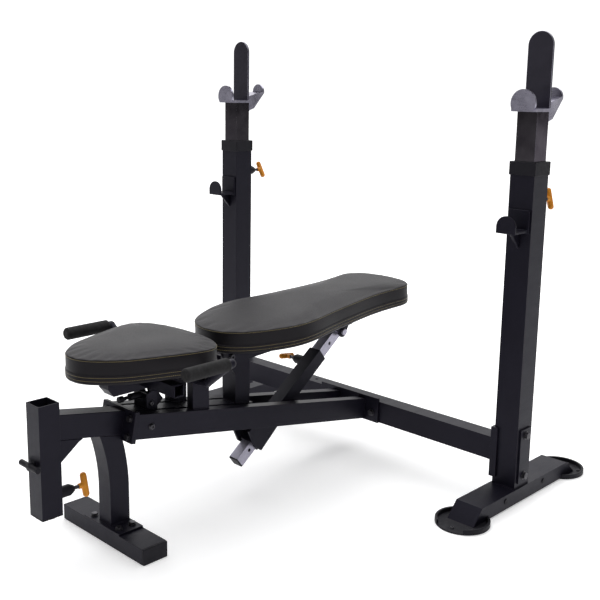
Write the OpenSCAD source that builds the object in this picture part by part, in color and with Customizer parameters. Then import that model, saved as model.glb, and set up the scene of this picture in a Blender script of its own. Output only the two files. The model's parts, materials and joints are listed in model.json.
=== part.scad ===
// Adjustable bench press: flat-to-incline bench, two telescopic bar uprights and a front accessory receiver.
// +X is to the bench's side, +Y is towards the uprights, +Z is up. The origin is on the floor, in the middle.

/* [Uprights] */
// Distance between the two upright centre lines
upright_spacing = 1120; // [1090:10:1160]
// Height of the outer uprights' top edge
upright_top_z = 890; // [860:10:920]
// Height of the inner tube's top, where the bar hooks start
hook_base_z = 1052; // [1030:2:1060]
// Outside size of the square uprights
upright_size = 70; // [70:1:76]

/* [Bench] */
// Downward slope of the main beam towards the uprights
beam_slope = 10.56; // [10:0.1:11]
// Seat cushion length
seat_length = 356; // [340:2:360]
// Backrest cushion length
backrest_length = 753; // [740:1:760]
// Tilt of the backrest in its lowest position
backrest_tilt = 3.1; // [2.9:0.1:3.3]
// Cushion depth from seam to underside
pad_depth = 58; // [56:1:60]

/* [Feet] */
// Radius of the round foot discs
disc_radius = 71.4; // [65:0.2:72]
// Width of the front foot
front_foot_width = 342; // [320:2:400]

/* [Hidden] */
$fn = 64;
wall = 3;
fit_gap = 0.05;
body_gap = 0.4;

// Upright and rear-foot stations
upright_x = upright_spacing / 2;
upright_y = 402;
foot_top_z = 43.7;
foot_bottom_z = 3.5;
foot_width = 80;
collar_top_z = upright_top_z + 35;
inner_tube_size = 57;
inner_tube_length = 400;
pin_z = 820;
lower_hook_z = 745;

// Main beam: its top line starts here and falls towards the crossbar
beam_front_y = -491;
beam_front_z = 329;
rail_inner_x = 37;
rail_outer_x = 67;
rail_height = 62;
centre_half_width = 25;
centre_tube_length = 432;
crossbar_half_depth = 26;
crossbar_bottom_z = 102.5;
crossbar_top_z = 168.3;
crossbar_front_y = upright_y - crossbar_half_depth;
rear_flange_thickness = 8;

// Receiver post, front tube and front leg
post_y = -700.6;
post_size = 54;
post_wall = 2.5;
post_top_z = 394;
post_bottom_z = 123;
front_tube_height = 60;
leg_y = -513;
leg_depth = 55;
leg_width = 50;
leg_bend_radius = 490;
leg_bend_z = 130;
front_foot_y = -517;
front_foot_depth = 70;
front_foot_height = 40;

// Seat hinge, backrest hinge and strut pivots
seat_hinge = [0, -276, 400];
back_hinge = [0, -166, 404];
strut_pivot = [0, -23, 145];
strut_top = [0, 295, 387];
strut_vector = strut_top - strut_pivot;
strut_angle = atan2(strut_vector[2], strut_vector[1]);
strut_length = norm(strut_vector);
strut_tube_size = 32;

// Cushions: each outline's half-widths at even steps from front to rear
seat_seam_z = 482.6;
seat_centre_y = -447;
seat_crown = 9;
seat_widths = [74, 109.4, 142.1, 167.8, 172.5];
seat_caps = [100, 86];
backrest_centre = [0, 161, 498.6];
backrest_crown = 14;
backrest_widths = [95.6, 162.3, 138.8, 119, 131.3];
backrest_caps = [86, 81];
board_thickness = 8;
board_inset = 4;

frame_colour = [0.15, 0.145, 0.18];
chrome_colour = [0.45, 0.44, 0.48];
nickel_colour = [0.65, 0.63, 0.70];
zinc_colour = [0.62, 0.61, 0.68];
vinyl_colour = [0.16, 0.155, 0.17];
wood_colour = [0.10, 0.09, 0.08];
plastic_colour = [0.07, 0.07, 0.08];
orange_colour = [0.80, 0.42, 0.10];
bolt_colour = [0.22, 0.22, 0.24];

// ---- Shared shapes ----

// A block given by its low and high corners
module block(low, high) {
    translate(low) cube(high - low);
}

// A prism along X between x0 and x1 from an outline in the Y-Z plane
module plate_x(x0, x1, outline) {
    translate([x0, 0, 0]) rotate([90, 0, 90]) linear_extrude(x1 - x0) polygon(outline);
}

// A cylinder along X
module rod_x(x0, x1, radius, y, z) {
    translate([x0, y, z]) rotate([0, 90, 0]) cylinder(h = x1 - x0, r = radius);
}

// A cylinder along Y
module rod_y(y0, y1, radius, x, z) {
    translate([x, y0, z]) rotate([-90, 0, 0]) cylinder(h = y1 - y0, r = radius);
}

// A cylinder along Z
module rod_z(z0, z1, radius, x, y) {
    translate([x, y, z0]) cylinder(h = z1 - z0, r = radius);
}

// A hollow block: outer corners and wall thickness, open at both ends of the chosen axis
module tube(low, high, thickness, axis) {
    inset = [for (i = [0:2]) i == axis ? -1 : thickness];
    difference() {
        block(low, high);
        block(low + inset, high - inset);
    }
}

module both_sides() {
    children();
    mirror([1, 0, 0]) children();
}

// Places children in the beam's frame: y runs down the beam, z = 0 is its top face
module on_beam() {
    translate([0, beam_front_y, beam_front_z]) rotate([-beam_slope, 0, 0]) children();
}

// Places children in the strut's frame: y runs up the strut from its lower pivot
module on_strut() {
    translate(strut_pivot) rotate([strut_angle, 0, 0]) children();
}

// Places children in the backrest's frame: y runs along the cushion from the hinge
module on_backrest() {
    translate(back_hinge) rotate([backrest_tilt, 0, 0]) children();
}

// Button-head bolt along +X with its seat at the origin
module button_head(radius, height) {
    rotate([0, 90, 0]) {
        difference() {
            cylinder(h = height, r1 = radius, r2 = radius * 0.72);
            translate([0, 0, height * 0.45]) cylinder(h = height, r = radius * 0.4, $fn = 6);
        }
    }
}

// Hexagon head or nut along +X with its seat at the origin
module hex_head(radius, height) {
    rotate([0, 90, 0]) {
        cylinder(h = 1.5, r = radius * 1.15);
        translate([0, 0, 1.5]) cylinder(h = height, r = radius, $fn = 6);
    }
}

// ---- Pull pins, in their own frame: +Y points out of the mounting face ----

pin_radius = 4.5;
pin_housing_length = 34;
pin_handle_y = 77;
pin_handle_length = 60;
pin_handle_radius = 8.2;

module pin_housing() {
    difference() {
        union() {
            rod_y(0, pin_housing_length, 14, 0, 0);
            translate([0, pin_housing_length, 0]) rotate([-90, 0, 0]) cylinder(h = 12, r1 = 14, r2 = 8);
        }
        rod_y(-1, pin_housing_length + 20, pin_radius + fit_gap, 0, 0);
    }
}

// The plunger and its T-handle, with the nose stopping just inside the wall
module pull_pin(nose_y, tilt) {
    color(bolt_colour) rod_y(nose_y, pin_handle_y - 12, pin_radius, 0, 0);
    color(orange_colour) translate([0, pin_handle_y, 0]) rotate([0, tilt, 0]) {
        reach = pin_handle_length / 2 - pin_handle_radius;
        rotate([90, 0, 0]) cylinder(h = 17, r1 = 7.6, r2 = 6.6);
        translate([0, 0, -reach]) cylinder(h = 2 * reach, r = pin_handle_radius);
        for (side = [-1, 1]) translate([0, 0, side * reach]) sphere(r = pin_handle_radius);
    }
}

// ---- Cushion shapes ----

// Smooth curve through evenly spaced values; t runs from 0 to 1
function spline(values, t) =
    let (count = len(values) - 1)
    let (k = min(floor(t * count), count - 1))
    let (u = t * count - k)
    let (a = values[max(k - 1, 0)])
    let (b = values[k])
    let (c = values[k + 1])
    let (d = values[min(k + 2, count)])
    b + 0.5 * u * (c - a + u * (2 * a - 5 * b + 4 * c - d + u * (3 * (b - c) + d - a)));

// How far an end cap narrows the outline at a distance from that end
function cap_factor(distance, cap) =
    distance >= cap ? 1 : pow(max(0, 1 - pow(1 - distance / cap, 2.3)), 1 / 2.3);

function half_width(s, length, widths, caps) =
    spline(widths, s / length) * cap_factor(s, caps[0]) * cap_factor(length - s, caps[1]);

outline_steps = 36;

// Outline points, from the front end round the +X side to the rear end and back
function pad_outline(length, widths, caps) =
    let (steps = [for (i = [0:outline_steps]) length * (1 - cos(180 * i / outline_steps)) / 2])
    concat(
        [for (s = steps) [half_width(s, length, widths, caps), s - length / 2]],
        [for (i = [outline_steps - 1:-1:1])
            [-half_width(steps[i], length, widths, caps), steps[i] - length / 2]]
    );

// A closed cushion: side wall from z = -depth to 0 and a domed top
module cushion(outline, depth, crown) {
    count = len(outline);
    rings = [
        [0.985, -depth], [1, -depth + 5], [1.008, -depth / 2], [1, 0],
        [0.975, crown * 0.45], [0.90, crown * 0.72], [0.72, crown * 0.9], [0.40, crown * 0.985]
    ];
    last = len(rings) - 1;
    points = concat(
        [for (ring = rings) for (p = outline) [p[0] * ring[0], p[1] * ring[0], ring[1]]],
        [[0, 0, -depth], [0, 0, crown]]
    );
    bottom = len(points) - 2;
    top = len(points) - 1;
    faces = concat(
        [for (k = [0:last - 1]) for (i = [0:count - 1])
            [k * count + i, (k + 1) * count + i, (k + 1) * count + (i + 1) % count]],
        [for (k = [0:last - 1]) for (i = [0:count - 1])
            [k * count + i, (k + 1) * count + (i + 1) % count, k * count + (i + 1) % count]],
        [for (i = [0:count - 1]) [bottom, i, (i + 1) % count]],
        [for (i = [0:count - 1]) [top, last * count + (i + 1) % count, last * count + i]]
    );
    polyhedron(points, faces);
}

function inset_outline(outline, inset) =
    [for (p = outline) let (r = max(norm(p), 1)) p * (r - inset) / r];

module board(outline, depth) {
    translate([0, 0, -depth]) linear_extrude(board_thickness) polygon(inset_outline(outline, board_inset));
}

// ---- Fixed frame ----

module crossbar() {
    end_x = upright_x - upright_size / 2 - 8;
    color(frame_colour) difference() {
        tube([-end_x, crossbar_front_y, crossbar_bottom_z],
             [end_x, upright_y + crossbar_half_depth, crossbar_top_z], wall, 0);
        rod_z(crossbar_top_z - 10, crossbar_top_z + 10, 5, -169, upright_y);
    }
}

upright_bolt_z = [77, 191];
upright_bolt_radius = 6;

module crossbar_end_flanges() {
    inner_x = upright_x - upright_size / 2 - 8;
    color(frame_colour) both_sides() difference() {
        union() {
            block([inner_x, upright_y - 42, 64], [inner_x + 8, upright_y + 42, 205]);
            for (y = [upright_y - 42, upright_y + upright_size / 2])
                block([inner_x + 8, y, 64], [inner_x + 20, y + 7, 205]);
        }
        for (z = upright_bolt_z) rod_x(inner_x - 1, inner_x + 9, upright_bolt_radius, upright_y, z);
    }
}

rail_length = 900;
tie_bolt_y = 52;
tie_bolt_z = -32;

module rail() {
    color(frame_colour) difference() {
        on_beam() {
            tube([rail_inner_x, 10, -rail_height], [rail_outer_x, rail_length, 0], wall, 1);
        }
        block([0, crossbar_front_y - rear_flange_thickness, 0], [100, 600, 400]);
        on_beam() rod_x(0, 100, 6, tie_bolt_y, tie_bolt_z);
    }
}

module rail_right() {
    rail();
}

module rail_left() {
    mirror([1, 0, 0]) rail();
}

module centre_tube() {
    color(frame_colour) on_beam() difference() {
        tube([-centre_half_width, 10, -rail_height], [centre_half_width, centre_tube_length, 0], wall, 1);
        rod_x(-100, 100, 6, tie_bolt_y, tie_bolt_z);
    }
}

module rail_spacers() {
    color(frame_colour) both_sides() on_beam() {
        block([centre_half_width, centre_tube_length - 40, -rail_height + 4],
              [rail_inner_x, centre_tube_length, -6]);
        difference() {
            block([centre_half_width, 10, -rail_height + 4], [rail_inner_x, 90, -6]);
            rod_x(0, 100, 6, tie_bolt_y, tie_bolt_z);
        }
    }
}

module rear_flange() {
    color(frame_colour) difference() {
        block([-116, crossbar_front_y - rear_flange_thickness, 102], [116, crossbar_front_y, 180]);
        for (x = [-92, 92]) rod_y(crossbar_front_y - 20, crossbar_front_y + 5, 5, x, 131);
    }
}

flange_bolts = [[-50, -14], [50, -14], [-50, -58], [50, -58]];

module beam_flange_plate(y0, y1) {
    color(frame_colour) on_beam() difference() {
        block([-rail_outer_x, y0, -rail_height - 10], [rail_outer_x, y1, 6]);
        for (p = flange_bolts) rod_y(y0 - 1, y1 + 1, 5, p[0], p[1]);
    }
}

module beam_front_flange() {
    beam_flange_plate(4, 10);
}

module front_tube_flange() {
    beam_flange_plate(-2, 4);
}

module front_tube() {
    color(frame_colour) difference() {
        on_beam() tube([-leg_width / 2, -260, -front_tube_height], [leg_width / 2, -2, 0], wall, 1);
        block([-60, -900, 0], [60, post_y + post_size / 2, 600]);
    }
}

receiver_pin_z = 163;
clamp_z = 250;
clamp_reach = 11.8;
clamp_bar_half = 38;
clamp_bar_radius = 7;

module receiver_post() {
    half = post_size / 2;
    color(frame_colour) difference() {
        tube([-half, post_y - half, post_bottom_z], [half, post_y + half, post_top_z], post_wall, 2);
        rod_y(post_y, post_y + half + 1, pin_radius + fit_gap, 0, receiver_pin_z);
        rod_y(post_y - half - 1, post_y, 8 + fit_gap, 0, clamp_z);
    }
}

module receiver_plug() {
    half = post_size / 2;
    color(plastic_colour) {
        block([-half, post_y - half, post_bottom_z - 4], [half, post_y + half, post_bottom_z]);
        block([-half + post_wall, post_y - half + post_wall, post_bottom_z],
              [half - post_wall, post_y + half - post_wall, post_bottom_z + 14]);
        intersection() {
            translate([0, post_y, post_bottom_z + 60]) sphere(r = 70);
            block([-half, post_y - half, post_bottom_z - 25], [half, post_y + half, post_bottom_z - 4]);
        }
    }
}

module post_gusset() {
    post_face = post_y + post_size / 2;
    outer = [[post_face, 246], [-624, 284], [-610, 291], [-590, 292], [-590, 340], [post_face, 352]];
    inner = [[post_face - 1, 252], [-626, 289], [-612, 295.5], [-580, 296], [-580, 350], [post_face - 1, 362]];
    color(frame_colour) difference() {
        plate_x(-leg_width / 2, leg_width / 2, outer);
        plate_x(-leg_width / 2 + 4, leg_width / 2 - 4, inner);
        on_beam() block([-40, -400, -front_tube_height], [40, 0, 40]);
    }
}

module leg_profile() {
    translate([leg_bend_radius, 0]) difference() {
        square([leg_depth, leg_width], center = true);
        square([leg_depth - 2 * wall, leg_width - 2 * wall], center = true);
    }
}

module front_leg() {
    half = leg_depth / 2;
    color(frame_colour) difference() {
        union() {
            tube([-leg_width / 2, leg_y - half, front_foot_height + 5],
                 [leg_width / 2, leg_y + half, leg_bend_z], wall, 2);
            translate([0, leg_y - leg_bend_radius, leg_bend_z]) rotate([90, 0, 90])
                rotate_extrude(angle = 24, $fn = 200) leg_profile();
        }
        on_beam() block([-80, -400, -front_tube_height], [80, 200, 100]);
        on_beam() block([-80, -2, -rail_height - 10], [80, 200, 100]);
    }
}

leg_bolts = [for (x = [-52, 52]) for (y = [-20, 20]) [x, front_foot_y + y]];

module leg_base_plate() {
    color(frame_colour) difference() {
        block([-75, front_foot_y - 36, front_foot_height], [75, front_foot_y + 35, front_foot_height + 5]);
        for (p = leg_bolts) rod_z(front_foot_height - 1, front_foot_height + 6, 5, p[0], p[1]);
    }
}

module front_foot() {
    half = front_foot_width / 2 - 6;
    color(frame_colour) difference() {
        tube([-half, front_foot_y - front_foot_depth / 2, 0],
             [half, front_foot_y + front_foot_depth / 2, front_foot_height], wall, 0);
        for (p = leg_bolts) rod_z(front_foot_height - 8, front_foot_height + 6, 5, p[0], p[1]);
    }
}

module front_foot_caps() {
    half = front_foot_width / 2;
    y0 = front_foot_y - front_foot_depth / 2;
    y1 = front_foot_y + front_foot_depth / 2;
    color(plastic_colour) both_sides() {
        block([half - 6, y0, 0], [half, y1, front_foot_height]);
        block([half - 24, y0 + wall, wall], [half - 6, y1 - wall, front_foot_height - wall]);
    }
}

// Right-hand upright; its pull pin enters the rear face
module upright() {
    half = upright_size / 2;
    color(frame_colour) difference() {
        tube([upright_x - half, upright_y - half, foot_top_z],
             [upright_x + half, upright_y + half, upright_top_z], wall, 2);
        rod_y(upright_y, upright_y + half + 1, pin_radius + fit_gap, upright_x, pin_z);
        for (z = upright_bolt_z)
            rod_x(upright_x - half - 1, upright_x + half + 1, upright_bolt_radius, upright_y, z);
    }
}

module upright_right() {
    upright();
}

module upright_left() {
    mirror([1, 0, 0]) upright();
}

module upright_bolt_plates() {
    x0 = upright_x + upright_size / 2;
    color(frame_colour) both_sides() difference() {
        block([x0, upright_y - 25, 58], [x0 + 5, upright_y + 25, 210]);
        for (z = upright_bolt_z) rod_x(x0 - 1, x0 + 6, upright_bolt_radius, upright_y, z);
    }
}

module upright_collars() {
    half = upright_size / 2 + 3;
    opening = inner_tube_size / 2 + body_gap;
    skirt = upright_size / 2 - wall;
    color(plastic_colour) both_sides() difference() {
        union() {
            block([upright_x - half, upright_y - half, upright_top_z],
                  [upright_x + half, upright_y + half, collar_top_z]);
            block([upright_x - skirt, upright_y - skirt, upright_top_z - 30],
                  [upright_x + skirt, upright_y + skirt, upright_top_z]);
        }
        block([upright_x - opening, upright_y - opening, upright_top_z - 31],
              [upright_x + opening, upright_y + opening, collar_top_z + 1]);
    }
}

disc_y = [upright_y - 225, upright_y + 273];
disc_rim_z = 14;
foot_plug_y = [upright_y - 83, upright_y + 112];
foot_plug_z = 27;
disc_bolts = [[3, 50], [48.5, 28]];

module rear_foot() {
    half = foot_width / 2;
    side = [
        [upright_y - 235, foot_bottom_z], [upright_y + 290, foot_bottom_z],
        [upright_y + 243, foot_top_z], [upright_y - 197, foot_top_z]
    ];
    inner = [
        [upright_y - 227, foot_bottom_z + wall], [upright_y + 282, foot_bottom_z + wall],
        [upright_y + 241, foot_top_z - wall], [upright_y - 195, foot_top_z - wall]
    ];
    color(frame_colour) difference() {
        plate_x(upright_x - half, upright_x + half, side);
        plate_x(upright_x - half + wall, upright_x + half - wall, inner);
        for (y = foot_plug_y) rod_x(upright_x + half - 10, upright_x + half + 1, 6, y, foot_plug_z);
    }
}

module rear_foot_right() {
    rear_foot();
}

module rear_foot_left() {
    mirror([1, 0, 0]) rear_foot();
}

module rear_foot_plugs() {
    x0 = upright_x + foot_width / 2;
    color(plastic_colour) both_sides() for (y = foot_plug_y) {
        rod_x(x0, x0 + 2, 8, y, foot_plug_z);
        rod_x(x0 - 8, x0, 6, y, foot_plug_z);
    }
}

module foot_disc(y) {
    rod_z(0, foot_bottom_z, disc_radius, upright_x, y);
    difference() {
        rod_z(foot_bottom_z, disc_rim_z, disc_radius, upright_x, y);
        rod_z(foot_bottom_z - 1, disc_rim_z + 1, disc_radius - 7, upright_x, y);
        block([upright_x - foot_width / 2, 0, foot_bottom_z],
              [upright_x + foot_width / 2, upright_y + 291, disc_rim_z + 1]);
    }
}

module foot_discs() {
    color(plastic_colour) both_sides() {
        for (y = disc_y) {
            foot_disc(y);
        }
    }
}

lower_hook_half = 28;

// Fixed hook on the front face of an upright
module lower_hook() {
    face_y = upright_y - upright_size / 2;
    z = lower_hook_z;
    color(frame_colour) translate([upright_x, face_y, z]) {
        block([-31, -6, -3], [31, 0, 58]);
        block([-lower_hook_half, -60, 0], [lower_hook_half, 0, 7]);
        block([-lower_hook_half, -66, 0], [lower_hook_half, -59, 18]);
        translate([0, -59, 18]) intersection() {
            rotate([90, 0, 0]) cylinder(h = 7, r = lower_hook_half);
            block([-lower_hook_half, -8, 0], [lower_hook_half, 1, lower_hook_half + 1]);
        }
        plate_x(-4, 4, [[0, -45], [0, 1], [-42, 1]]);
    }
}

module lower_hook_right() {
    lower_hook();
}

module lower_hook_left() {
    mirror([1, 0, 0]) lower_hook();
}

module strut_gussets() {
    outline = [[40, 195], [-55, 203], [-92, 172], [-71, 124], [-45, 106], [14, 158]];
    color(frame_colour) both_sides() difference() {
        plate_x(30, rail_inner_x, outline);
        rod_x(0, 100, 8 + fit_gap, strut_pivot[1], strut_pivot[2]);
    }
}

seat_post_y = [-308, -254];
seat_post_crown = 18.5;
seat_bolt_radius = 6;

module seat_hinge_posts() {
    hy = seat_hinge[1];
    hz = seat_hinge[2];
    outline = [
        [seat_post_y[0], 250], [seat_post_y[1], 250], [seat_post_y[1], hz - 10], [hy + seat_post_crown, hz],
        [hy - seat_post_crown, hz], [seat_post_y[0], hz - 24]
    ];
    color(frame_colour) both_sides() difference() {
        union() {
            plate_x(34, 58, outline);
            rod_x(34, 58, seat_post_crown, hy, hz);
        }
        on_beam() block([-100, 0, -200], [100, 900, 0]);
        block([37, seat_post_y[0] + wall, 200], [55, seat_post_y[1] - wall, hz - 28]);
        rod_x(0, 100, seat_bolt_radius, hy, hz);
    }
}

back_post_y = [-133, -81];
back_bolt_radius = 6;

module backrest_post() {
    hy = back_hinge[1];
    hz = back_hinge[2];
    ear = [[back_post_y[0] - 35, hz - 14], [back_post_y[0] + 1, hz - 60], [back_post_y[0] + 20, hz - 60],
           [back_post_y[0] + 20, hz + 2], [back_post_y[0] + 1, hz + 14], [hy, hz + 14]];
    color(frame_colour) difference() {
        union() {
            tube([-25, back_post_y[0], 220], [25, back_post_y[1], hz - 8], wall, 2);
            block([-25, back_post_y[0], hz - 12], [25, back_post_y[1], hz - 8]);
            for (x = [-25, 18]) {
                plate_x(x, x + 7, ear);
                rod_x(x, x + 7, 14, hy, hz);
            }
        }
        on_beam() block([-100, 0, -200], [100, 900, 0]);
        rod_x(-60, 60, back_bolt_radius, hy, hz);
    }
}

clevis_y = [-429, -396];
seat_pin_z = 350;

module seat_clevis() {
    y0 = clevis_y[0];
    y1 = clevis_y[1];
    color(frame_colour) difference() {
        union() {
            for (side = [0, 1]) mirror([side, 0, 0]) {
                block([20, y0, 280], [26, y1, seat_pin_z - 6]);
                rod_x(20, 26, (y1 - y0) / 2, (y0 + y1) / 2, seat_pin_z - 6);
            }
            block([-26, y0, 280], [26, y0 + 6, seat_pin_z + 6]);
        }
        on_beam() block([-100, 0, -200], [100, 900, 0]);
        rod_y(y0 - 1, y1, pin_radius + fit_gap, 0, seat_pin_z);
    }
}

// Bolts, nuts and hinge pins that stay on the frame
module frame_bolts() {
    color(bolt_colour) {
        both_sides() {
            for (z = upright_bolt_z) {
                x_in = upright_x - upright_size / 2 - 8;
                x_out = upright_x + upright_size / 2 + 5;
                rod_x(x_in, x_out, upright_bolt_radius, upright_y, z);
                translate([x_out, upright_y, z]) hex_head(10, 7);
                translate([x_in, upright_y, z]) mirror([1, 0, 0]) hex_head(10, 8);
            }
            for (y = disc_y) for (p = disc_bolts)
                translate([upright_x + p[0], y + p[1] * sign(y - upright_y), foot_bottom_z])
                    rotate([0, -90, 0]) button_head(6, 4);
            translate([92, crossbar_front_y - rear_flange_thickness, 131]) rotate([0, 0, -90]) hex_head(9, 7);
            rod_y(crossbar_front_y - rear_flange_thickness, crossbar_front_y, 5, 92, 131);
            on_beam() translate([rail_outer_x, tie_bolt_y, tie_bolt_z]) button_head(9, 5);
            on_beam() rod_x(0, rail_outer_x, 6, tie_bolt_y, tie_bolt_z);
            translate([58, seat_hinge[1], seat_hinge[2]]) button_head(10, 6);
            rod_x(0, 58, seat_bolt_radius, seat_hinge[1], seat_hinge[2]);
            translate([46.5, back_hinge[1], back_hinge[2]]) button_head(10, 6);
            rod_x(0, 46.5, back_bolt_radius, back_hinge[1], back_hinge[2]);
            translate([26, clevis_y[0] + 14, 330]) button_head(7, 4);
        }
        for (p = leg_bolts) {
            translate([p[0], p[1], front_foot_height + 5]) rotate([0, -90, 0]) hex_head(8, 6);
            rod_z(front_foot_height, front_foot_height + 5, 5, p[0], p[1]);
        }
        on_beam() for (p = flange_bolts) {
            translate([p[0], -2, p[1]]) rotate([0, 0, -90]) hex_head(8, 6);
            rod_y(-2, 10, 5, p[0], p[1]);
        }
    }
}

module frame_pin_housings() {
    color(plastic_colour) {
        both_sides() translate([upright_x, upright_y + upright_size / 2, pin_z]) pin_housing();
        translate([0, post_y + post_size / 2, receiver_pin_z]) pin_housing();
        translate([0, clevis_y[0], seat_pin_z]) difference() {
            rod_y(-34, 0, 9, 0, 0);
            rod_y(-40, 1, pin_radius + fit_gap, 0, 0);
        }
    }
}

// ---- Telescopic uprights ----

module inner_upright() {
    half = inner_tube_size / 2;
    shoe = upright_size / 2 - wall - body_gap;
    bottom_z = hook_base_z - inner_tube_length;
    color(chrome_colour) difference() {
        tube([upright_x - half, upright_y - half, bottom_z],
             [upright_x + half, upright_y + half, hook_base_z - 1], wall, 2);
        for (k = [0:4]) rod_y(upright_y, upright_y + half + 1, 5.5, upright_x, pin_z - 100 + 50 * k);
    }
    color(plastic_colour) difference() {
        block([upright_x - shoe, upright_y - shoe, bottom_z - 12],
              [upright_x + shoe, upright_y + shoe, bottom_z]);
        block([upright_x - 20, upright_y - 20, bottom_z - 13], [upright_x + 20, upright_y + 20, bottom_z + 1]);
    }
}

module inner_upright_right() {
    inner_upright();
}

module inner_upright_left() {
    mirror([1, 0, 0]) inner_upright();
}

blade_front_y = 16;
blade_rear_y = 22;
blade_half = 36;
rear_hook_half = 25;
front_lip_radius = 35;

// Hook cradle, relative to the top centre of the inner tube
module hook_cradle() {
    rear_face = inner_tube_size / 2 + 0.1;
    floor_side = [[rear_face, 6], [40, 6], [103, 32], [100, 38], [rear_face, 20]];
    gusset = [[rear_face, -28], [55, -20], [103, 32], [rear_face, 12]];
    color(nickel_colour) translate([upright_x, upright_y, hook_base_z]) {
        block([-blade_half, -48, -1], [blade_half, blade_rear_y, 7]);
        block([-rear_hook_half, blade_rear_y, -1], [rear_hook_half, 34, 7]);
        block([-rear_hook_half, rear_face, -28], [rear_hook_half, 34, 7]);
        translate([0, -47, 20]) intersection() {
            rotate([90, 0, 0]) cylinder(h = 7, r = front_lip_radius);
            block([-36, -8, -16], [36, 1, 36]);
        }
        plate_x(-rear_hook_half, rear_hook_half, floor_side);
        for (x = [-rear_hook_half, rear_hook_half - 6]) plate_x(x, x + 6, gusset);
        block([-rear_hook_half, 96, 32], [rear_hook_half, 103, 36]);
        translate([0, 103, 36]) intersection() {
            rotate([90, 0, 0]) cylinder(h = 7, r = rear_hook_half);
            block([-rear_hook_half, -8, 0], [rear_hook_half, 1, 26]);
        }
    }
}

module hook_cradle_right() {
    hook_cradle();
}

module hook_cradle_left() {
    mirror([1, 0, 0]) hook_cradle();
}

module hook_blade() {
    color(frame_colour) translate([upright_x, upright_y, hook_base_z]) {
        block([-blade_half, blade_front_y, 7], [blade_half, blade_rear_y, 164]);
        translate([0, blade_rear_y, 164]) intersection() {
            rotate([90, 0, 0]) cylinder(h = blade_rear_y - blade_front_y, r = blade_half);
            block([-blade_half, -10, 0], [blade_half, 1, 40]);
        }
    }
}

module hook_blade_right() {
    hook_blade();
}

module hook_blade_left() {
    mirror([1, 0, 0]) hook_blade();
}

module upright_pin_right() {
    translate([upright_x, upright_y + upright_size / 2, pin_z]) pull_pin(-2.5, -14);
}

module upright_pin_left() {
    translate([-upright_x, upright_y + upright_size / 2, pin_z]) pull_pin(-2.5, -30);
}

module receiver_pin() {
    translate([0, post_y + post_size / 2, receiver_pin_z]) pull_pin(-2, -15);
}

module clamp_screw() {
    face = post_y - post_size / 2;
    color(plastic_colour) {
        rod_y(face - clamp_reach, face + post_wall, 8, 0, clamp_z);
        rod_y(face - clamp_reach - 6, face - 3, 9, 0, clamp_z);
        rod_x(-clamp_bar_half, clamp_bar_half, clamp_bar_radius, face - clamp_reach, clamp_z);
    }
}

module seat_pin() {
    translate([0, clevis_y[0], seat_pin_z]) {
        color(bolt_colour) rod_y(-52, 22, pin_radius, 0, 0);
        color(plastic_colour) rod_y(-66, -52, 8, 0, 0);
    }
}

// ---- Seat ----

seat_outline = pad_outline(seat_length, seat_widths, seat_caps);

module seat_pad() {
    color(vinyl_colour) translate([0, seat_centre_y, seat_seam_z])
        cushion(seat_outline, pad_depth - board_thickness, seat_crown);
}

module seat_board() {
    color(wood_colour) translate([0, seat_centre_y, seat_seam_z]) board(seat_outline, pad_depth);
}

seat_beam_half = 19;
seat_beam_top = 412;
seat_beam_bottom = 369;
seat_beam_front_y = -536;
sector_radii = [113, 136];
sector_start = 12;
sector_end = 41;
notch_pitch = 7.5;
notch_angle = 21.6;

module seat_beam() {
    hy = seat_hinge[1];
    hz = seat_hinge[2];
    pad_bottom = seat_seam_z - pad_depth;
    side = [
        [seat_beam_front_y, seat_beam_top], [seat_beam_front_y, seat_beam_bottom + 20],
        [seat_beam_front_y + 16, seat_beam_bottom], [-268, seat_beam_bottom],
        [-262, seat_beam_bottom + 6], [-262, seat_beam_top]
    ];
    color(frame_colour) {
        difference() {
            union() {
                plate_x(-seat_beam_half, seat_beam_half, side);
                rod_x(-33.4, 33.4, 12, hy, hz);
            }
            block([-seat_beam_half + wall, -515, seat_beam_bottom + wall],
                  [seat_beam_half - wall, -300, seat_beam_top - wall]);
            rod_x(-60, 60, seat_bolt_radius + fit_gap, hy, hz);
        }
        for (y = [-520, -360]) block([-70, y, seat_beam_top], [70, y + 36, pad_bottom]);
        difference() {
            translate([-4, hy, hz]) rotate([90, 0, 90]) linear_extrude(8) difference() {
                circle(r = sector_radii[1], $fn = 120);
                circle(r = sector_radii[0], $fn = 120);
                polygon([
                    [0, 0], [-300, -300 * tan(sector_start)], [-300, 300], [300, 300], [300, -300], [0, -300]
                ]);
                polygon([[0, 0], [-300 * cos(sector_end), -300 * sin(sector_end)], [-300, -500], [200, -500]]);
            }
            for (step = [0:2]) translate([0, hy, hz]) rotate([step * notch_pitch, 0, 0])
                translate([0, -sector_radii[1], 0]) rotate([notch_angle, 0, 0])
                    block([-5, -6, -5.5], [5, 6, 5.5]);
        }
    }
}

cross_arm_y = [-440, -410];

module seat_cross_arms() {
    color(frame_colour) both_sides()
        tube([seat_beam_half, cross_arm_y[0], 379], [150, cross_arm_y[1], 409], wall, 0);
}

grip_x = 243;
grip_y = [-486, -356];
grip_z = 466;
grip_radius = 16.5;
bar_radius = 11;
bar_front_y = -480;
bar_rear_y = -344;

// Straight round bar between two points
module bar_between(a, b, radius) {
    v = b - a;
    translate(a) rotate([0, acos(v[2] / norm(v)), atan2(v[1], v[0])]) cylinder(h = norm(v), r = radius);
}

module seat_handle_bars() {
    corners = [
        [grip_x, bar_front_y, grip_z], [grip_x, bar_rear_y, grip_z],
        [150, -338, 396], [seat_beam_half - 3, -338, 388]
    ];
    color(frame_colour) both_sides() difference() {
        union() {
            for (i = [0:2]) bar_between(corners[i], corners[i + 1], bar_radius);
            for (i = [1:2]) translate(corners[i]) sphere(r = bar_radius + 0.5);
        }
        block([0, -360, 360], [seat_beam_half, -310, 420]);
    }
}

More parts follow.
